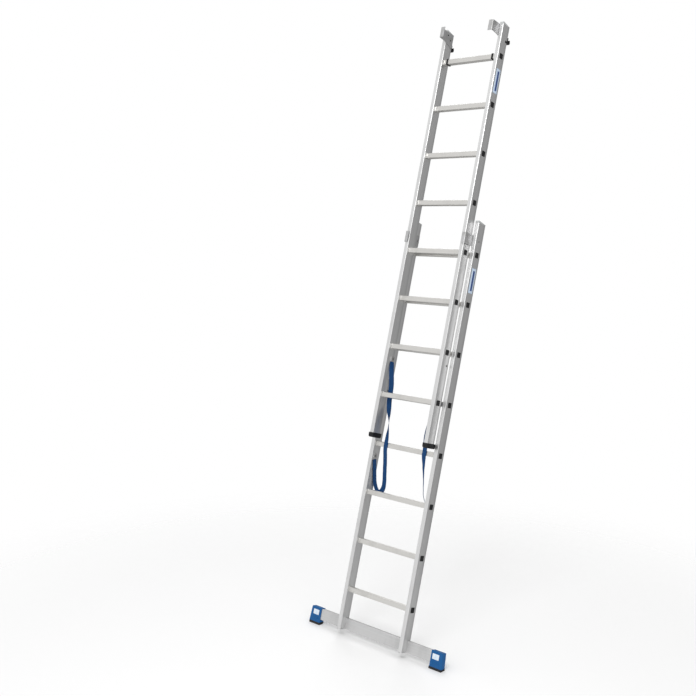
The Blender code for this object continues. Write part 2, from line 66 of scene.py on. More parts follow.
# %% [markdown]
# ## Sizes
#
# These repeat the ladder's driving dimensions, in metres. The two offsets that place the
# leaning axes over the floor are read off the frame, from the lower stile's lowest corner.

# %%
LEAN = radians(14.5)
PITCH = 0.280
RUNG_COUNT = 8
EXTENSION = 4 * PITCH
LAST_RUNG = (RUNG_COUNT - 1) * PITCH
STILE_WIDTH = 0.025
STILE_DEPTH = 0.063
LAYER_STEP = 0.065
WIDTH = {"lower": 0.476, "upper": 0.414}
RUNG_DEPTH = 0.031
RUNG_HEIGHT = 0.028
RUNG_WALL = 0.0016
BEAM_FRONT = 0.0372
PAD_LINE = -0.258
CAP_DEPTH = (0.0344, 0.0656)
SIDES = (("left", -1), ("right", 1))

UP = Vector((0.0, sin(LEAN), cos(LEAN)))
BACK = Vector((0.0, cos(LEAN), -sin(LEAN)))


def leaning_origin():
    """Where the lower section's axes start: level with rung 1, at the stiles' front faces.

    The pads' soles lie on the floor, so a depth d meets the floor at
    s(d) = PAD_LINE + (d - BEAM_FRONT) tan(LEAN), and the pads' middle is at y = 0.
    """
    middle = sum(CAP_DEPTH) / 2
    floor_s = PAD_LINE + (middle - BEAM_FRONT) * tan(LEAN)
    y = -middle * cos(LEAN) - floor_s * sin(LEAN)
    z = middle * sin(LEAN) - floor_s * cos(LEAN)
    return Vector((0.0, y, z))


ORIGIN = {"lower": leaning_origin()}
ORIGIN_DEPTH = ORIGIN["lower"].dot(BACK)
ORIGIN["upper"] = ORIGIN["lower"] + EXTENSION * UP - LAYER_STEP * BACK


def section_matrix(section):
    """Matrix from a section's (x, d, s) axes to the row frame."""
    matrix = Matrix.Rotation(-LEAN, 4, "X")
    matrix.translation = ORIGIN[section]
    return matrix


def place(points, section):
    """Points in a section's (x, d, s) axes, as an array in the row frame."""
    matrix = np.array(section_matrix(section))
    points = np.asarray(points, float)
    return points @ matrix[:3, :3].T + matrix[:3, 3]


# %% [markdown]
# ## Camera
#
# The camera stands in front of the ladder and to its right, above head height, and is rolled
# very slightly.

# %%
CAMERA_LENS = 51.84
CAMERA_PLACE = (3.4960, -4.0077, 2.2933)
CAMERA_FORWARD = (-0.67522, 0.72785, -0.11962)
CAMERA_ROLL = radians(0.85)


def add_camera():
    data = bpy.data.cameras.new("camera")
    data.lens = CAMERA_LENS
    data.sensor_width = 36.0
    camera = bpy.data.objects.new("camera", data)
    bpy.context.scene.collection.objects.link(camera)
    camera.location = CAMERA_PLACE
    turn = Vector(CAMERA_FORWARD).to_track_quat("-Z", "Y").to_matrix().to_4x4()
    roll = Matrix.Rotation(CAMERA_ROLL, 4, "Z")
    camera.rotation_euler = (turn @ roll).to_euler()
    bpy.context.scene.camera = camera


add_camera()

# %% [markdown]
# ## Shader maths
#
# A Value wraps a node's output, so that a pattern can be written as a formula. Nodes adds every
# node through one method, and Paint uses it to make a material.

# %%
# The Mix node has sockets of the same name for each kind of data. These are the colour's.
MIX_FACTOR, MIX_FIRST, MIX_SECOND, MIX_RESULT = 0, 6, 7, 2


class Value:
    """A shader output that adds, subtracts, multiplies and divides like a number."""

    def __init__(self, nodes, socket):
        self.nodes = nodes
        self.socket = socket

    def maths(self, operation, *others):
        return self.nodes.node("ShaderNodeMath", [self, *others], operation=operation)

    def __add__(self, other):
        return self.maths("ADD", other)

    def __sub__(self, other):
        return self.maths("SUBTRACT", other)

    def __mul__(self, other):
        return self.maths("MULTIPLY", other)

    def __truediv__(self, other):
        return self.maths("DIVIDE", other)

    def sine(self):
        return self.maths("SINE")

    def size(self):
        return self.maths("ABSOLUTE")

    def power(self, exponent):
        return self.maths("POWER", exponent)

    def larger(self, other):
        return self.maths("MAXIMUM", other)

    def above(self, limit):
        return self.maths("GREATER_THAN", limit)

    def ramp(self, low, high, start=0.0, end=1.0):
        """Smooth step from start to end, as the value goes from low to high."""
        inputs = {"Value": self, "From Min": low, "From Max": high, "To Min": start, "To Max": end}
        return self.nodes.node("ShaderNodeMapRange", inputs, interpolation_type="SMOOTHSTEP")


class Nodes:
    """A node tree, and the tools to add nodes to it."""

    def __init__(self, tree):
        self.tree = tree

    def node(self, kind, inputs=(), output=0, **settings):
        """Adds a node, fills its inputs from a list or a dict, and returns one output."""
        node = self.tree.nodes.new(kind)
        for name, value in settings.items():
            setattr(node, name, value)
        pairs = inputs.items() if isinstance(inputs, dict) else enumerate(inputs)
        for key, value in pairs:
            self.feed(node.inputs[key], value)
        return Value(self, node.outputs[output])

    def feed(self, socket, value):
        """Links a Value to a socket, or sets the socket to a constant."""
        if isinstance(value, Value):
            self.tree.links.new(value.socket, socket)
        else:
            socket.default_value = value

    def split(self, vector):
        """The three parts of a vector."""
        parts = self.node("ShaderNodeSeparateXYZ", [vector]).socket.node
        return tuple(Value(self, socket) for socket in parts.outputs)


class Paint(Nodes):
    """A material with one Principled shader, and the tools to build its patterns."""

    def __init__(self, name, colour, roughness, metallic=0.0, coat=0.0):
        self.material = bpy.data.materials.new(name)
        self.material.use_nodes = True
        super().__init__(self.material.node_tree)
        self.shader = self.tree.nodes["Principled BSDF"]
        self.shader.inputs["Base Color"].default_value = (*colour, 1.0)
        self.shader.inputs["Roughness"].default_value = roughness
        self.shader.inputs["Metallic"].default_value = metallic
        self.shader.inputs["Coat Weight"].default_value = coat
        self.shader.inputs["Coat Roughness"].default_value = 0.2

    def set(self, name, value):
        self.feed(self.shader.inputs[name], value)

    def axes(self):
        """The ladder's (x, d, s) axes as three Values, in metres."""
        x, y, z = self.split(self.node("ShaderNodeTexCoord", output="Object"))
        return x, y * cos(LEAN) - z * sin(LEAN), y * sin(LEAN) + z * cos(LEAN)

    def mapped(self, layer):
        """A point's place in a UV layer, as two Values."""
        return self.split(self.node("ShaderNodeUVMap", uv_map=layer))[:2]

    def noise(self, x, y, z, detail=2.0, roughness=0.5):
        """Noise from 0 to 1 at a point, whose axes are already scaled."""
        point = self.node("ShaderNodeCombineXYZ", [x, y, z])
        inputs = {"Vector": point, "Scale": 1.0, "Detail": detail, "Roughness": roughness}
        return self.node("ShaderNodeTexNoise", inputs, output=0)

    def blend(self, factor, first, second):
        """Colour between two colours."""
        pair = [item if isinstance(item, Value) else (*item, 1.0) for item in (first, second)]
        inputs = {MIX_FACTOR: factor, MIX_FIRST: pair[0], MIX_SECOND: pair[1]}
        return self.node("ShaderNodeMix", inputs, output=MIX_RESULT, data_type="RGBA")

    def bump(self, height, distance, strength=1.0):
        """Raises the surface by height times distance, in metres."""
        inputs = {"Height": height, "Distance": distance, "Strength": strength}
        self.set("Normal", self.node("ShaderNodeBump", inputs))


# %% [markdown]
# ## Materials
#
# The extruded aluminium has fine die lines along its length, so its noise is stretched along
# the stiles or along the rungs. Handling leaves faint cloudy patches where it is duller.

# %%
GROOVE_DEPTHS = (0.0085, 0.0545)
GROOVE_HALF_WIDTH = 0.0011


def groove(depth, centre):
    """1 inside a groove and 0 outside it, at a depth from the stile's front."""
    off = (depth - centre).size()
    return off.ramp(GROOVE_HALF_WIDTH * 0.5, GROOVE_HALF_WIDTH, 1.0, 0.0)


def aluminium(name, lengthwise, tone, roughness, front=None, warmth=0.0):
    """Mill-finish extrusion, with die lines along "s" or along "x".

    With the depth of a stile's front given, two shallow grooves run up its sides. Painted shade
    darkens the grooves, and the faces towards the stile's rear edge.
    """
    paint = Paint(name, (tone, tone, tone), roughness, metallic=1.0)
    x, d, s = paint.axes()
    fine, coarse, slow = 1400.0, 260.0, 1.5
    if lengthwise == "s":
        lines = paint.noise(x * fine, d * fine, s * slow, detail=1.0)
        bands = paint.noise(x * coarse, d * coarse, s * slow)
    else:
        lines = paint.noise(x * slow, d * fine, s * fine, detail=1.0)
        bands = paint.noise(x * slow, d * coarse, s * coarse)
    clouds = paint.noise(x * 9.0, d * 9.0, s * 5.0, detail=4.0, roughness=0.6)
    specks = paint.noise(x * 420.0, d * 420.0, s * 420.0, detail=3.0, roughness=0.7)
    worn = clouds.ramp(0.45, 0.75)
    # The die lines' and bands' own tone; for a stile, painted shade is added to it below.
    shade = (bands - 0.5) * 0.5 + (lines - 0.5) * 0.3
    height = lines * 0.6 + bands * 0.4 + specks * 0.25
    if front is not None:
        depth = d - ORIGIN_DEPTH - front
        grooves = groove(depth, GROOVE_DEPTHS[0]).larger(groove(depth, GROOVE_DEPTHS[1]))
        height = height - grooves * 3.0
        # Painted shade: the grooves are coloured darker, and so are the faces towards the stile's
        # rear edge.
        shade = shade - grooves * 0.6 - depth.ramp(0.035, 0.063) * 0.5
    bright = (tone, tone * (1 - warmth * 0.3), tone * (1 - warmth))
    # The duller colour serves both the worn patches and the painted shade.
    dull = tuple(part * 0.72 for part in bright)
    paint.set("Base Color", paint.blend(worn * 0.35 - shade + 0.15, bright, dull))
    grain = (lines - 0.5) * 0.16 + (bands - 0.5) * 0.08
    paint.set("Roughness", grain + worn * 0.12 + specks.ramp(0.6, 0.8) * 0.06 + roughness)
    paint.bump(height, 0.00006, 0.55)
    return paint.material


def zinc_plated(name, tone, roughness):
    """Zinc-plated sheet steel, with a faint spangle and a dull bloom."""
    paint = Paint(name, (tone, tone, tone), roughness, metallic=1.0)
    x, d, s = paint.axes()
    point = paint.node("ShaderNodeCombineXYZ", [x, d, s])
    cells = {"Vector": point, "Scale": 160.0}
    spangle = paint.node("ShaderNodeTexVoronoi", cells, output="Distance", feature="F1")
    bloom = paint.noise(x * 30.0, d * 30.0, s * 30.0, detail=4.0)
    bright, dull = (tone, tone, tone * 1.01), (tone * 0.8, tone * 0.8, tone * 0.79)
    paint.set("Base Color", paint.blend(bloom.ramp(0.35, 0.7), bright, dull))
    paint.set("Roughness", spangle.ramp(0.0, 0.6) * 0.10 + bloom * 0.12 + roughness - 0.08)
    paint.bump(spangle * 0.5 + bloom * 0.5, 0.00010, 0.4)
    return paint.material


def moulded(name, colour, roughness):
    """Moulded plastic: an even spark-eroded texture and slightly paler, rubbed patches."""
    paint = Paint(name, colour, roughness)
    x, d, s = paint.axes()
    grain = 2200.0
    texture = paint.noise(x * grain, d * grain, s * grain, detail=2.0)
    flow = paint.noise(x * 45.0, d * 45.0, s * 45.0, detail=3.0)
    rubbed = flow.ramp(0.5, 0.8)
    pale = tuple(0.88 * part + 0.012 for part in colour)
    paint.shader.inputs["Specular IOR Level"].default_value = 0.3
    paint.set("Base Color", paint.blend(rubbed * 0.6, colour, pale))
    paint.set("Roughness", rubbed * 0.10 + texture.ramp(0.3, 0.7) * 0.08 + roughness)
    paint.bump(texture + flow * 0.6, 0.00012, 0.5)
    return paint.material


def rubber(name):
    """Black rubber with moulded ribs round its sides and dust in its pores."""
    paint = Paint(name, (0.011, 0.011, 0.012), 0.78)
    x, d, s = paint.axes()
    ribs = (x * (2 * pi / 0.005)).sine()
    pores = paint.noise(x * 1500.0, d * 1500.0, s * 1500.0, detail=3.0)
    dust = paint.noise(x * 70.0, d * 70.0, s * 70.0, detail=4.0).ramp(0.52, 0.75)
    paint.set("Base Color", paint.blend(dust * 0.35, (0.011, 0.011, 0.012), (0.07, 0.068, 0.065)))
    paint.set("Roughness", dust * 0.15 + pores * 0.1 + 0.68)
    paint.bump(ribs.larger(0.0) * 0.8 + pores * 0.3, 0.0004, 0.6)
    return paint.material


def webbing(name):
    """Woven strap: warp ribs along its length, crossed by weft threads.

    The UV map holds the place across the strap in u, and along it in v, both in metres.
    A plain weave's height is |sin(pi u / p)| + |sin(pi v / q)|, with thread pitches p and q,
    and every second rib shifted by half a weft thread.
    """
    paint = Paint(name, (0.010, 0.075, 0.255), 0.82)
    u, v = paint.mapped("weave")
    rib, thread = 0.0014, 0.0016
    odd = (u / (2 * rib)).maths("FRACT").above(0.5)
    warp = (u * (pi / rib)).sine().size()
    weft = ((v + odd * (thread / 2)) * (pi / thread)).sine().size()
    fuzz = paint.noise(u * 2600.0, v * 2600.0, 0.0, detail=3.0)
    weave = warp.power(0.6) * 0.7 + weft * 0.5
    fade = paint.noise(u * 60.0, v * 16.0, 3.0, detail=3.0)
    # The weave's height also sets the colour, darker between the threads: painted shade in the
    # weave's hollows.
    tone = weave * 0.55 + fuzz * 0.25 + fade * 0.35 - 0.15
    paint.set("Base Color", paint.blend(tone, (0.002, 0.014, 0.060), (0.007, 0.065, 0.200)))
    paint.set("Roughness", fuzz * 0.15 + 0.72)
    paint.bump(weave + fuzz * 0.35, 0.00035, 0.8)
    paint.shader.inputs["Specular IOR Level"].default_value = 0.25
    return paint.material


def printed_label(name, colour, band):
    """Plain sticker: a field of colour with one band, under a thin clear film.

    The UV map runs from 0 to 1 across and along the label.
    """
    roughness = 0.32
    paint = Paint(name, colour, roughness, coat=0.35)
    u, v = paint.mapped("print")
    across = (u - 0.56).size().ramp(0.20, 0.215, 1.0, 0.0)
    along = (v - 0.5).size().ramp(0.40, 0.405, 1.0, 0.0)
    edge = (u - 0.5).size().ramp(0.47, 0.475).larger((v - 0.5).size().ramp(0.49, 0.492))
    fibre = paint.noise(u * 90.0, v * 300.0, 1.0, detail=3.0)
    field = paint.blend(fibre.ramp(0.3, 0.8) * 0.5, colour, tuple(part * 0.86 for part in colour))
    inked = paint.blend(across * along, field, band)
    paint.set("Base Color", paint.blend(edge * 0.6, inked, (0.10, 0.13, 0.18)))
    paint.set("Roughness", fibre * 0.12 + roughness - 0.05)
    paint.bump(fibre, 0.00003, 0.4)
    return paint.material


LOWER_METAL = aluminium("lower_stile_finish", "s", tone=0.76, roughness=0.38, front=0.0)
UPPER_METAL = aluminium("upper_stile_finish", "s", tone=0.76, roughness=0.38, front=-LAYER_STEP)
BEAM_METAL = aluminium("beam_aluminium_finish", "x", tone=0.66, roughness=0.40)
RUNG_METAL = aluminium("rung_aluminium_finish", "x", tone=0.72, roughness=0.34, warmth=0.05)
BRACKET_METAL = zinc_plated("bracket_finish", tone=0.56, roughness=0.42)
FASTENER_METAL = zinc_plated("fastener_finish", tone=0.20, roughness=0.40)
BLACK_PLASTIC = moulded("black_plastic_finish", (0.006, 0.006, 0.007), 0.50)
GREY_PLASTIC = moulded("grey_plastic_finish", (0.46, 0.47, 0.47), 0.45)
BLUE_PLASTIC = moulded("blue_plastic_finish", (0.001, 0.085, 0.265), 0.42)
BLACK_RUBBER = rubber("black_rubber_finish")
BLUE_WEBBING = webbing("blue_webbing_finish")
STILE_LABEL = printed_label("stile_label_finish", (0.55, 0.66, 0.80), (0.02, 0.06, 0.22))
CAP_LABEL = printed_label("cap_label_finish", (0.70, 0.76, 0.84), (0.60, 0.70, 0.82))

FINISH = {
    "stile_aluminium": LOWER_METAL,
    "rung_aluminium": RUNG_METAL,
    "bracket_steel": BRACKET_METAL,
    "fastener_steel": FASTENER_METAL,
    "black_plastic": BLACK_PLASTIC,
    "grey_plastic": GREY_PLASTIC,
    "blue_plastic": BLUE_PLASTIC,
    "black_rubber": BLACK_RUBBER,
    "blue_webbing": BLUE_WEBBING,
}


EDGE_ROUNDING = 0.0004


def soften(piece):
    """Rounds a piece's sharp edges."""
    bevel = piece.modifiers.new("soft_edges", "BEVEL")
    bevel.width = EDGE_ROUNDING
    bevel.segments = 2
    bevel.limit_method = "ANGLE"
    bevel.angle_limit = radians(40)
    bevel.harden_normals = True


def paint_cad_nodes():
    """Gives each CAD node the finish of its material slot, and soft edges."""
    slots = {row["node"]: row["material_slot"] for row in frame["record"]["subparts"]}
    for name, obj in NODES.items():
        finish = FINISH[slots[name]]
        if name.startswith("upper_stile"):
            finish = UPPER_METAL
        if name in ("stabiliser_beam", "stabiliser_clip_left", "stabiliser_clip_right"):
            finish = BEAM_METAL
        obj.data.materials.clear()
        obj.data.materials.append(finish)
        obj.data.shade_smooth()
        obj.data.set_sharp_from_angle(angle=radians(50))
        soften(obj)


paint_cad_nodes()

# %% [markdown]
# ## Mesh tools
#
# A piece is a set of rings of points, joined ring to ring. Every finished piece sits at the
# origin, with its place in its mesh, and rides on the body that carries it.

# %%
def finish_piece(name, points, faces, section, material, smooth=38):
    """Makes a piece from points in the row frame. It rides on its section, if it has one."""
    mesh = bpy.data.meshes.new(name)
    mesh.from_pydata([tuple(point) for point in points], [], faces)
    mesh.materials.append(material)
    shape = bmesh.new()
    shape.from_mesh(mesh)
    bmesh.ops.recalc_face_normals(shape, faces=shape.faces)
    shape.to_mesh(mesh)
    shape.free()
    mesh.shade_smooth()
    mesh.set_sharp_from_angle(angle=radians(smooth))
    piece = bpy.data.objects.new(name, mesh)
    bpy.context.scene.collection.objects.link(piece)
    if section:
        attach(piece, section + "_section")
    return piece


def map_points(piece, layer_name, spots):
    """Writes each point's place in a pattern to a UV layer."""
    layer = piece.data.uv_layers.new(name=layer_name)
    for loop in piece.data.loops:
        layer.data[loop.index].uv = spots[loop.vertex_index]


def ring_faces(rings, count):
    """Quads between rings of count points each, round each ring and from one to the next."""
    faces = []
    for low in range(0, (rings - 1) * count, count):
        for index in range(count):
            after = (index + 1) % count
            faces.append((low + index, low + after, low + count + after, low + count + index))
    return faces


class Bodies:
    """Collects several separate bodies as one piece."""

    def __init__(self):
        self.points = []
        self.faces = []

    def add(self, points, faces):
        start = len(self.points)
        self.points += [tuple(point) for point in points]
        self.faces += [tuple(start + index for index in face) for face in faces]

    def loft(self, rings, closed_ends=True):
        """Adds a body through rings of equal length, its ends closed by flat faces."""
        count = len(rings[0])
        faces = ring_faces(len(rings), count)
        if closed_ends:
            faces.append(tuple(range(count))[::-1])
            faces.append(tuple((len(rings) - 1) * count + index for index in range(count)))
        self.add([point for ring in rings for point in ring], faces)


def rounded_rectangle(width, height, radius):
    """Outline of a rectangle with round corners, anticlockwise, about (0, 0)."""
    steps = 4
    points = []
    for corner in range(4):
        turn = corner * pi / 2
        across = (1, -1, -1, 1)[corner] * (width / 2 - radius)
        up = (1, 1, -1, -1)[corner] * (height / 2 - radius)
        for step in range(steps + 1):
            angle = turn + step * pi / (2 * steps)
            points.append((across + radius * cos(angle), up + radius * sin(angle)))
    return np.array(points)


# %% [markdown]
# ## Rungs
#
# A rung is one extruded profile: a rounded box whose top and bottom carry fine grip ribs.
# The ribs are cut into the tube's outline, and a bead is swaged round it where it meets the
# inner face of each stile.

# %%
RUNG_CORNER = 0.003
BEAD_HEIGHT = 0.0012
BORE_SCALE = 1 - RUNG_WALL / 0.0145


def rung_outline():
    """Outline of a rung in (d, s), with ribs in the top and bottom faces.

    The ribs are grooves of depth 0.5 mm at a pitch of 2.6 mm: s falls by
    groove * (1 - cos(2 pi d / pitch)) / 2 over the flat part of each face.
    """
    base = rounded_rectangle(RUNG_DEPTH, RUNG_HEIGHT, RUNG_CORNER)
    flat = RUNG_DEPTH / 2 - 0.0035
    groove, pitch, steps = 0.0005, 0.0026, 56
    outline = []
    for index, point in enumerate(base):
        outline.append(tuple(point))
        after = base[(index + 1) % len(base)]
        if abs(after[0] - point[0]) > 2 * flat - 0.002:
            side = np.sign(point[1])
            for step in range(1, steps):
                d = point[0] + (after[0] - point[0]) * step / steps
                dip = groove * (1 - cos(2 * pi * d / pitch)) / 2 if abs(d) < flat else 0.0
                outline.append((d, point[1] - side * dip))
    return np.array(outline)


def rung_stations(width):
    """(x, growth) along one half of a rung: the inside face of the bead, the bead, the end."""
    inner = width / 2 - STILE_WIDTH
    return [(0.0, 0.0), (inner - 0.0062, 0.0), (inner - 0.0052, 0.0),
            (inner - 0.0042, BEAD_HEIGHT * 0.7), (inner - 0.0028, BEAD_HEIGHT),
            (inner - 0.0012, BEAD_HEIGHT * 0.8), (inner - 0.0004, 0.0), (width / 2, 0.0)]


def add_rungs(section):
    """Eight ribbed rungs, each in place of its plain CAD tube."""
    plain = rung_outline()
    reach = np.linalg.norm(plain, axis=1)[:, None]
    outward = plain / reach
    centre = STILE_DEPTH / 2
    half = rung_stations(WIDTH[section])
    stations = [(-x, grow) for x, grow in half[:0:-1]] + half
    for number in range(RUNG_COUNT):
        body = Bodies()
        rings = []
        for x, grow in stations:
            around = plain + outward * grow
            rings.append([(x, centre + d, number * PITCH + s) for d, s in around])
        for x in (stations[-1][0], stations[0][0]):
            rings.append([(x, centre + d, number * PITCH + s) for d, s in plain * BORE_SCALE])
        rings.append(rings[0])
        body.loft(rings, closed_ends=False)
        name = f"{section}_rung_{number + 1}"
        points = place(body.points, section)
        piece = finish_piece(f"ribbed_{name}", points, body.faces, section, RUNG_METAL,
                             50)
        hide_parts(name)


for section_name in ("lower", "upper"):
    add_rungs(section_name)

# %% [markdown]
# ## Raised details
#
# Plugs, labels and moulded ribs are all plates with rounded corners, built up in levels from
# a flat face: each level has its own height and its own inset from the plate's outline.

# %%
def raised_plate(centre, right, up, size, radius, levels):
    """Rings of a plate at a centre, spanned by two unit directions, and their (u, v)."""
    centre, right, up = (np.array(item, float) for item in (centre, right, up))
    normal = np.cross(right, up)
    rings, prints = [], []
    for height, inset in levels:
        width, tall = size[0] - 2 * inset, size[1] - 2 * inset
        outline = rounded_rectangle(width, tall, max(radius - inset, 0.0002))
        rings.append([centre + u * right + v * up + height * normal for u, v in outline])
        prints += [(u / size[0] + 0.5, v / size[1] + 0.5) for u, v in outline]
    return rings, prints


def dome_rings(centre, direction, radius, height):
    """Rivet head on a short straight side: at angle t a ring has radius R cos(t), and stands
    H (1/4 + 3/4 sin(t)) off the face."""
    steps, count = 5, 16
    centre, direction = np.array(centre, float), np.array(direction, float)
    first = np.cross(direction, (0.1, 0.2, 1.0))
    first /= np.linalg.norm(first)
    second = np.cross(direction, first)
    rings = [(radius, -0.0004), (radius, height * 0.25)]
    for step in range(1, steps):
        angle = step * (pi / 2) / steps
        rings.append((radius * cos(angle), height * (0.25 + 0.75 * sin(angle))))
    result = []
    for around, off in rings:
        ring = []
        for index in range(count):
            turn = 2 * pi * index / count
            outward = cos(turn) * first + sin(turn) * second
            ring.append(centre + off * direction + around * outward)
        result.append(ring)
    return result


# %% [markdown]
# ## Rung plugs
#
# Black plugs close the rungs' ends. Each has a flange just over the rung's edge, and a
# shallow dish with a small boss in its middle.

# %%
def add_plugs(section):
    bodies = Bodies()
    size = (RUNG_DEPTH - 0.0024, RUNG_HEIGHT + 0.0020)
    levels = ((0.0001, 0.0), (0.0009, 0.0), (0.0013, 0.0004), (0.0013, 0.0040), (0.0006, 0.0048),
              (0.0006, 0.0090), (0.0010, 0.0094), (0.0010, 0.0118))
    for number in range(RUNG_COUNT):
        for _, side in SIDES:
            centre = (side * WIDTH[section] / 2, STILE_DEPTH / 2, number * PITCH)
            rings, _ = raised_plate(centre, (0, side, 0), (0, 0, 1), size, 0.0035, levels)
            bodies.loft(rings)
    points = place(bodies.points, section)
    finish_piece(f"{section}_rung_plugs", points, bodies.faces, section, BLACK_PLASTIC)


for section_name in ("lower", "upper"):
    add_plugs(section_name)

# %% [markdown]
# ## Rivets
#
# Rivets hold the guide brackets on the stiles' inner faces, and the hooks' tabs outside.

# %%
def add_rivets(name, section, places, radius, height, material):
    """Rivet heads at places (x, d, s) on the right, mirrored to the left; x < 0 faces inwards."""
    bodies = Bodies()
    for x, d, s in places:
        for _, side in SIDES:
            facing = 1 if x > 0 else -1
            bodies.loft(dome_rings((side * abs(x), d, s), (side * facing, 0, 0), radius, height))
    finish_piece(name, place(bodies.points, section), bodies.faces, section, material)


SHEET = 0.0031
UPPER_SHEET_X = WIDTH["upper"] / 2 - STILE_WIDTH - SHEET
LOWER_SHEET_X = WIDTH["lower"] / 2 - STILE_WIDTH - SHEET
add_rivets("upper_bracket_rivets", "upper",
           [(-UPPER_SHEET_X, 0.037, LAST_RUNG + 0.138), (-UPPER_SHEET_X, 0.010, LAST_RUNG + 0.160)],
           0.0042, 0.0018, BLACK_PLASTIC)
add_rivets("lower_bracket_rivets", "lower",
           [(-LOWER_SHEET_X, 0.020, LAST_RUNG + 0.076), (-LOWER_SHEET_X, 0.045, LAST_RUNG + 0.076),
            (WIDTH["lower"] / 2, 0.029, LAST_RUNG + 0.076)],
           0.0036, 0.0014, FASTENER_METAL)
add_rivets("hook_rivets", "upper", [(WIDTH["upper"] / 2 + 0.0018, 0.050, LAST_RUNG + 0.0903)],
           0.0026, 0.0010, BLACK_PLASTIC)

# %% [markdown]
# ## Labels
#
# Plain stickers: one on each section's right-hand stile, and one on the front of each end cap.

# %%
STILE_LABEL_SIZE = (0.040, 0.140)
STILE_LABEL_PLACE = (0.0315, LAST_RUNG - 0.144)
CAP_LABEL_SIZE = (0.044, 0.029)
CAP_LABEL_PLACE = (0.4395, -0.191)
CAP_LABEL_SHIFT = 0.003
LABEL_GAP = 0.0001


def add_label(name, section, centre, right, up, size, material):
    rings, prints = raised_plate(centre, right, up, size, 0.0020,
                                 ((0.0, 0.0), (0.00018, 0.0), (0.00025, 0.00015)))
    bodies = Bodies()
    bodies.loft(rings)
    label = finish_piece(name, place(bodies.points, section), bodies.faces, section, material)
    map_points(label, "print", prints)


for section_name in ("lower", "upper"):
    face = (WIDTH[section_name] / 2 + LABEL_GAP, *STILE_LABEL_PLACE)
    add_label(f"{section_name}_stile_label", section_name, face, (0, 1, 0), (0, 0, 1),
              STILE_LABEL_SIZE, STILE_LABEL)
for side_label, side_sign in SIDES:
    label_x = side_sign * CAP_LABEL_PLACE[0] - CAP_LABEL_SHIFT
    face = (label_x, CAP_DEPTH[0] - LABEL_GAP, CAP_LABEL_PLACE[1])
    add_label(f"end_cap_label_{side_label}", "lower", face, (1, 0, 0), (0, 0, 1),
              CAP_LABEL_SIZE, CAP_LABEL)

# %% [markdown]
# ## End cap ribs
#
# Three grip ribs are moulded across the lower part of each end cap's front and back.

# %%
CAP_RIB_X = 0.4400
CAP_RIB_HEIGHTS = (-0.2150, -0.2220, -0.2290)
CAP_RIB_SIZE = (0.050, 0.0030)


def add_cap_ribs(side_name, side):
    bodies = Bodies()
    levels = ((-0.0002, 0.0), (0.0005, 0.0002), (0.0009, 0.0007))
    for s in CAP_RIB_HEIGHTS:
        for d, right in ((CAP_DEPTH[0], 1), (CAP_DEPTH[1], -1)):
            centre = (side * CAP_RIB_X, d, s)
            rings, _ = raised_plate(centre, (right, 0, 0), (0, 0, 1), CAP_RIB_SIZE, 0.0014, levels)
            bodies.loft(rings)
    finish_piece(f"end_cap_ribs_{side_name}", place(bodies.points, "lower"), bodies.faces, "lower",
                 BLUE_PLASTIC)


for side_label, side_sign in SIDES:
    add_cap_ribs(side_label, side_sign)

# %% [markdown]
# ## Spreader straps
#
# Each strap is one length of webbing, from a clamp on the upper stile to a clamp on the lower
# one, and hangs in a loop between them. Its route is a list of points, and a smooth curve runs
# through them. The fourth number turns the webbing's width about the stile's direction on the
# left. The right strap mirrors it, but it has a twist in it, and its turns are the fifth.

# %%
STRAP_ROUTE = (
    (-0.1782, -0.0180, 1.3115, 82, 82),
    (-0.1762, -0.0185, 1.2950, 76, 76),
    (-0.1690, -0.0195, 1.2550, 55, 55),
    (-0.1600, -0.0180, 1.2130, 46, 46),
    (-0.1590, -0.0100, 1.1750, 42, 42),
    (-0.1610, -0.0040, 1.1350, 40, 40),
    (-0.1600, -0.0010, 1.0850, 42, 42),
    (-0.1530, 0.0020, 1.0350, 70, 70),
    (-0.1440, 0.0055, 0.9850, 118, 118),
    (-0.1390, 0.0080, 0.9350, 142, 142),
    (-0.1385, 0.0110, 0.8950, 165, 165),
    (-0.1400, 0.0137, 0.8500, 180, 180),
    (-0.1395, 0.0145, 0.8220, 180, 180),
    (-0.1395, 0.0280, 0.7700, 180, 205),
    (-0.1405, 0.0450, 0.7050, 180, 222),
    (-0.1420, 0.0610, 0.6430, 182, 228),
    (-0.1450, 0.0690, 0.6050, 186, 228),
    (-0.1560, 0.0735, 0.5790, 200, 228),
    (-0.1730, 0.0735, 0.5690, 225, 233),
    (-0.1910, 0.0700, 0.5770, 250, 250),
    (-0.2040, 0.0620, 0.6060, 264, 264),
    (-0.2085, 0.0500, 0.6530, 269, 269),
    (-0.2095, 0.0370, 0.7030, 270, 270),
    (-0.2097, 0.0245, 0.7460, 270, 270),
)
WEBBING_WIDTH = 0.028
WEBBING_THICKNESS = 0.0019
STEPS_PER_POINT = 8
WEAVE_SHIFT = 0.02


def smooth_curve(points, steps):
    """Catmull-Rom curve: p(t) = (2b + (c-a)t + (2a-5b+4c-d)t^2 + (3b-a-3c+d)t^3) / 2."""
    points = np.array(points, float)
    points = np.vstack([2 * points[0] - points[1], points, 2 * points[-1] - points[-2]])
    t = (np.arange(steps) / steps)[:, None]
    result = []
    for a, b, c, d in zip(points[:-3], points[1:-2], points[2:-1], points[3:]):
        curve = 2 * b + (c - a) * t + (2 * a - 5 * b + 4 * c - d) * t ** 2
        result.append((curve + (3 * b - a - 3 * c + d) * t ** 3) / 2)
    return np.vstack(result + [points[-2:-1]])


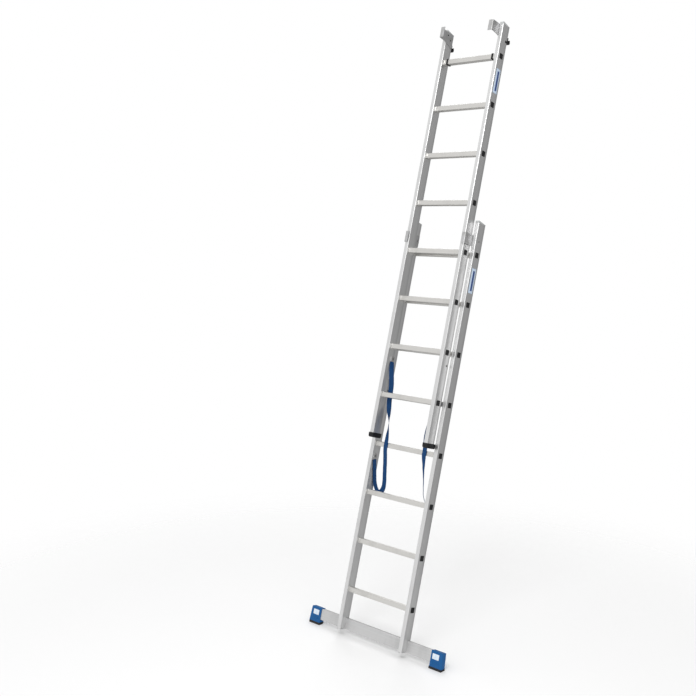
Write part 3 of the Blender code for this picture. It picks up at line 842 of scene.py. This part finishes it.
def strap_frames(side):
    """Centres, width directions and normals along a strap, and its length at each."""
    route = smooth_curve(STRAP_ROUTE, STEPS_PER_POINT)
    centres = route[:, :3].copy()
    turn = np.radians(route[:, 3 if side < 0 else 4])
    across = np.stack([np.cos(turn), np.sin(turn), 0 * turn], axis=1)
    centres[:, 0] *= -side
    across[:, 0] *= -side
    along = np.gradient(centres, axis=0)
    along /= np.linalg.norm(along, axis=1)[:, None]
    across -= (across * along).sum(axis=1)[:, None] * along
    across /= np.linalg.norm(across, axis=1)[:, None]
    run = np.linalg.norm(np.diff(centres, axis=0), axis=1)
    return centres, across, np.cross(along, across), np.concatenate([[0], np.cumsum(run)])


def strap_profile():
    """Cross-section of the webbing: round selvedges and a very slight crown."""
    profile = []
    half, thick = WEBBING_WIDTH / 2, WEBBING_THICKNESS / 2
    for face in (1, -1):
        for step in range(9):
            u = face * half * (1 - 2 * step / 8)
            swell = 1.0 if 0 < step < 8 else 0.45
            profile.append((u, face * thick * swell + 0.0004 * (1 - (u / half) ** 2)))
    return profile


def add_strap(side_name, side):
    centres, across, normal, run = strap_frames(side)
    profile = strap_profile()
    ripple = 0.0004 * np.sin(run * 2 * pi / 0.11) + 0.0003 * np.sin(run * 2 * pi / 0.047 + side)
    bodies = Bodies()
    rows = zip(centres, across, normal, ripple)
    bodies.loft([[centre + u * wide + (n + wave) * off for u, n in profile]
                 for centre, wide, off, wave in rows])
    points = place(bodies.points, "lower")
    strap = finish_piece(f"webbing_strap_{side_name}", points, bodies.faces, None, BLUE_WEBBING,
                         60)
    map_points(strap, "weave", [(u + WEAVE_SHIFT, length) for length in run for u, _ in profile])
    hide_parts(f"spreader_strap_{side_name}")
    path = place(centres, "lower")
    start, end = place([(0.0, 0.02, 0.766), (0.0, -0.02, 1.312)], "lower")
    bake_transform(strap)


for side_label, side_sign in SIDES:
    add_strap(side_label, side_sign)

# %% [markdown]
# ## Studio
#
# The floor is a pale disc that fades out at its rim. The surroundings are bright in front and
# dimmer behind the ladder, which keeps the stiles' side faces a quiet grey.

# %%
FLOOR_RADIUS = 3.5
FLOOR_DROP = 0.0005
FADE_START, FADE_END = 1.4, 3.4
BRIGHT_SIDE, DIM_SIDE = 0.90, 0.36
DIM_DIRECTION = (0.10, 0.90, -0.42)
DIM_REACH = 0.60


def add_floor():
    paint = Paint("floor_finish", (0.90, 0.90, 0.90), 0.6)
    place = paint.node("ShaderNodeTexCoord", output="Object")
    far = paint.node("ShaderNodeVectorMath", [place], output="Value", operation="LENGTH")
    ray = paint.node("ShaderNodeLightPath", output="Is Glossy Ray")
    paint.set("Alpha", far.ramp(FADE_START, FADE_END, 1.0, 0.0) * (ray * -0.75 + 1.0))
    shape = bmesh.new()
    bmesh.ops.create_circle(shape, cap_ends=True, segments=96, radius=FLOOR_RADIUS)
    mesh = bpy.data.meshes.new("floor")
    shape.to_mesh(mesh)
    shape.free()
    mesh.materials.append(paint.material)
    floor = bpy.data.objects.new("floor", mesh)
    bpy.context.scene.collection.objects.link(floor)
    floor.location.z = -FLOOR_DROP


def add_area_light(name, location, target, size, power):
    data = bpy.data.lights.new(name, "AREA")
    data.shape = "DISK"
    data.size = size
    data.energy = power
    light = bpy.data.objects.new(name, data)
    bpy.context.scene.collection.objects.link(light)
    light.location = location
    aim = Vector(target) - Vector(location)
    light.rotation_euler = aim.to_track_quat("-Z", "Y").to_euler()


def add_surroundings():
    """World light: white to the camera, and to everything else dimmer behind the ladder.

    With n a ray's unit direction and m the dim side's direction, the light is
    BRIGHT_SIDE + (DIM_SIDE - BRIGHT_SIDE) * smoothstep(n . m / DIM_REACH). Polished faces that
    look that way turn grey.
    """
    world = bpy.data.worlds.new("studio")
    bpy.context.scene.world = world
    world.use_nodes = True
    nodes = Nodes(world.node_tree)
    place = nodes.node("ShaderNodeTexCoord", output="Generated")
    aim = nodes.node("ShaderNodeVectorMath", [place, DIM_DIRECTION], output="Value",
                     operation="DOT_PRODUCT")
    seen = nodes.node("ShaderNodeLightPath", output="Is Camera Ray")
    background = world.node_tree.nodes["Background"]
    light = aim.ramp(0.0, DIM_REACH, BRIGHT_SIDE, DIM_SIDE)
    nodes.feed(background.inputs["Strength"], light.larger(seen))
    background.inputs["Color"].default_value = (1.0, 1.0, 1.0, 1.0)


bpy.context.scene.view_settings.view_transform = "Standard"
add_floor()
add_area_light("key", (1.2, -3.2, 5.4), (0.0, 0.3, 1.6), 2.4, 90.0)
add_area_light("fill", (3.8, -2.6, 2.4), (0.0, 0.3, 1.4), 2.8, 22.0)
add_area_light("rim", (-2.2, 3.2, 4.8), (0.0, 0.3, 1.6), 2.4, 45.0)
add_surroundings()
